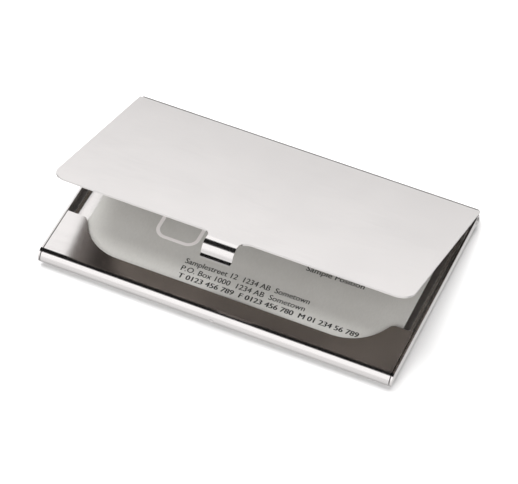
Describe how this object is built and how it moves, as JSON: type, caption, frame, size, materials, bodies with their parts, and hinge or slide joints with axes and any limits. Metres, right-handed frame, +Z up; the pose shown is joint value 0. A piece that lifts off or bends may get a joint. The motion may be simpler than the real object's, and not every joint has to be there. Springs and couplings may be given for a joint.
{
  "type": "business card case",
  "caption": "Slim folded sheet-metal business card case with a riveted hinged lid, curled latch tab, scooped front flap and a bowed card spring.",
  "frame": {"origin": "centre of the footprint on the underside of the tray, lid drawn 22 degrees open", "axes": "+X along the long side towards the right, +Y from the nose and latch towards the hinge, +Z up"},
  "size_m": [0.0958, 0.06, 0.0253],
  "materials": {
    "case_metal": "fine satin, clear anodised",
    "rivet_metal": "bright satin",
    "spring_metal": "rolled spring strip",
    "card_stock": null
  },
  "bodies": {
    "case": {"tray": "case_metal", "hinge_rivet_left": "rivet_metal", "hinge_rivet_right": "rivet_metal", "card_spring": "spring_metal", "spring_rivets": "rivet_metal"},
    "lid": {"lid": "case_metal"},
    "card": {"business_card": "card_stock"}
  },
  "joints": [
    {"name": "lid_hinge", "type": "hinge", "parent": "case", "child": "lid", "pos_m": [0, 0.0263, 0.0028], "axis": [-1, 0, 0], "range_deg": [-22, 78]},
    {"name": "card_press", "type": "slide", "parent": "case", "child": "card", "axis": [0, 0, 1], "range_m": [-0.0022, 0], "stiffness_N_per_m": 200, "springref_m": 0.001, "deforming": ["card_spring"]}
  ]
}
